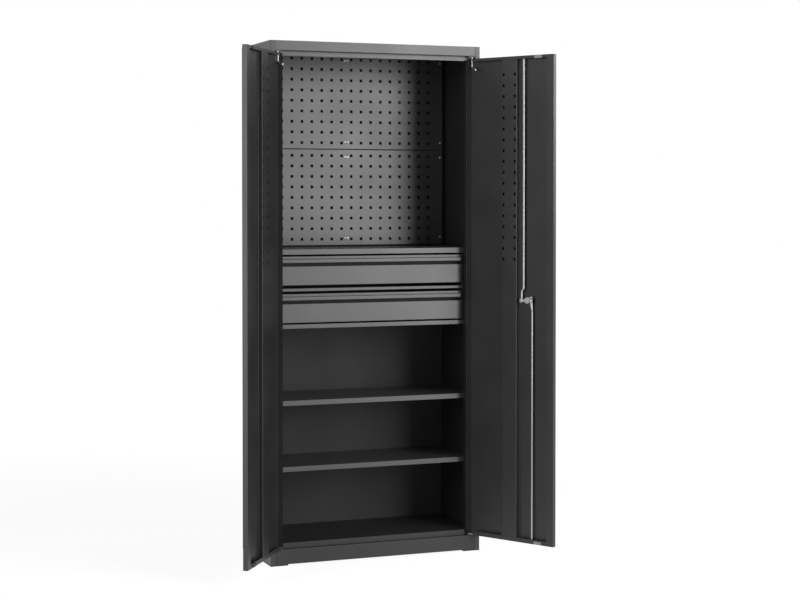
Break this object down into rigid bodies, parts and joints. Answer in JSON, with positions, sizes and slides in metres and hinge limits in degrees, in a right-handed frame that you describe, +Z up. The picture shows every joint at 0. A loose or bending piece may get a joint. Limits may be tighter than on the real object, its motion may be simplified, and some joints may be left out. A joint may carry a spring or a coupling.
{
  "type": "storage cabinet",
  "caption": "Tall steel storage cabinet with hinged doors, peg panels, drawers, shelves and a rod lock inside the right door.",
  "frame": {"origin": "centre of the cabinet's base, on the floor", "axes": "+Z up, +X to the right seen from the front, +Y into the cabinet; the doors face -Y"},
  "size_m": [1.1119, 0.6625, 1.8],
  "materials": {
    "charcoal_paint": "satin powder coat",
    "drawer_paint": "satin powder coat",
    "black_paint": "satin powder coat",
    "zinc": "bright zinc plate",
    "bumper": "matt",
    "black_plastic": "matt"
  },
  "bodies": {
    "cabinet": {"side_panel_left": "charcoal_paint", "side_panel_right": "charcoal_paint", "back_panel": "black_paint", "top_panel": "charcoal_paint", "plinth": "charcoal_paint", "floor_tray": "charcoal_paint", "hinge_plate_left": "zinc", "hinge_plate_right": "zinc", "base_frame": "black_paint", "peg_panel_upper": "charcoal_paint", "peg_panel_lower": "charcoal_paint", "peg_upright_left": "black_paint", "peg_upright_middle": "black_paint", "peg_upright_right": "black_paint", "peg_panel_screws": "zinc", "shelf_upper": "charcoal_paint", "shelf_lower": "charcoal_paint", "shelf_clips": "zinc", "case_top": "drawer_paint", "case_bottom": "drawer_paint", "case_side_left": "drawer_paint", "case_side_right": "drawer_paint", "case_divider_rail": "drawer_paint", "upper_slide_outer_left": "zinc", "upper_slide_outer_right": "zinc", "lower_slide_outer_left": "zinc", "lower_slide_outer_right": "zinc"},
    "left_door": {"left_door_panel": "charcoal_paint", "left_door_stiffener": "charcoal_paint", "left_door_top_pin": "zinc", "left_door_bottom_pin": "zinc", "left_door_bumpers": "bumper"},
    "right_door": {"right_door_panel": "charcoal_paint", "right_door_stiffener": "charcoal_paint", "right_door_top_pin": "zinc", "right_door_bottom_pin": "zinc", "right_door_bumpers": "bumper", "lock_housing": "zinc"},
    "lock": {"lock_cam": "zinc", "lock_spindle": "zinc", "turn_handle": "black_plastic", "key_cylinder": "zinc"},
    "upper_lock_rod": {"upper_rod": "zinc"},
    "lower_lock_rod": {"lower_rod": "zinc"},
    "upper_drawer": {"upper_drawer_front": "drawer_paint", "upper_drawer_pull": "drawer_paint", "upper_drawer_tray": "drawer_paint", "upper_slide_inner_left": "zinc", "upper_slide_inner_right": "zinc"},
    "upper_slide_middles": {"upper_slide_middle_left": "zinc", "upper_slide_middle_right": "zinc"},
    "lower_drawer": {"lower_drawer_front": "drawer_paint", "lower_drawer_pull": "drawer_paint", "lower_drawer_tray": "drawer_paint", "lower_slide_inner_left": "zinc", "lower_slide_inner_right": "zinc"},
    "lower_slide_middles": {"lower_slide_middle_left": "zinc", "lower_slide_middle_right": "zinc"}
  },
  "joints": [
    {"name": "right_door_hinge", "type": "hinge", "parent": "cabinet", "child": "right_door", "pos_m": [0.3615, -0.1689, 0.9], "axis": [0, 0, -1], "range_deg": [-10.9, 119.1]},
    {"name": "left_door_hinge", "type": "hinge", "parent": "cabinet", "child": "left_door", "pos_m": [-0.3615, -0.1689, 0.9], "axis": [0, 0, 1], "range_deg": [-4.5, 125.5]},
    {"name": "lock_turn", "type": "hinge", "parent": "right_door", "child": "lock", "pos_m": [0.47278, -0.38507, 0.905], "axis": [0.8738, 0.4863, 0], "range_deg": [0, 90]},
    {"name": "upper_rod_pivot", "type": "hinge", "parent": "lock", "child": "upper_lock_rod", "pos_m": [0.46305, -0.36759, 0.905], "axis": [0.8738, 0.4863, 0], "range_deg": [-91.5, 0]},
    {"name": "lower_rod_pivot", "type": "hinge", "parent": "lock", "child": "lower_lock_rod", "pos_m": [0.4825, -0.40254, 0.905], "axis": [0.8738, 0.4863, 0], "range_deg": [-91.5, 0]},
    {"name": "upper_drawer_slide", "type": "slide", "parent": "cabinet", "child": "upper_drawer", "axis": [0, 1, 0], "range_m": [-0.23, 0]},
    {"name": "upper_slide_middle_run", "type": "slide", "parent": "cabinet", "child": "upper_slide_middles", "axis": [0, 1, 0], "range_m": [-0.115, 0]},
    {"name": "lower_drawer_slide", "type": "slide", "parent": "cabinet", "child": "lower_drawer", "axis": [0, 1, 0], "range_m": [-0.23, 0]},
    {"name": "lower_slide_middle_run", "type": "slide", "parent": "cabinet", "child": "lower_slide_middles", "axis": [0, 1, 0], "range_m": [-0.115, 0]}
  ],
  "couplings": [
    {"joint": "upper_rod_pivot", "follows": "lock_turn", "ratio": -1.0127},
    {"joint": "lower_rod_pivot", "follows": "lock_turn", "ratio": -1.0127},
    {"joint": "upper_slide_middle_run", "follows": "upper_drawer_slide", "ratio": 0.5},
    {"joint": "lower_slide_middle_run", "follows": "lower_drawer_slide", "ratio": 0.5}
  ]
}
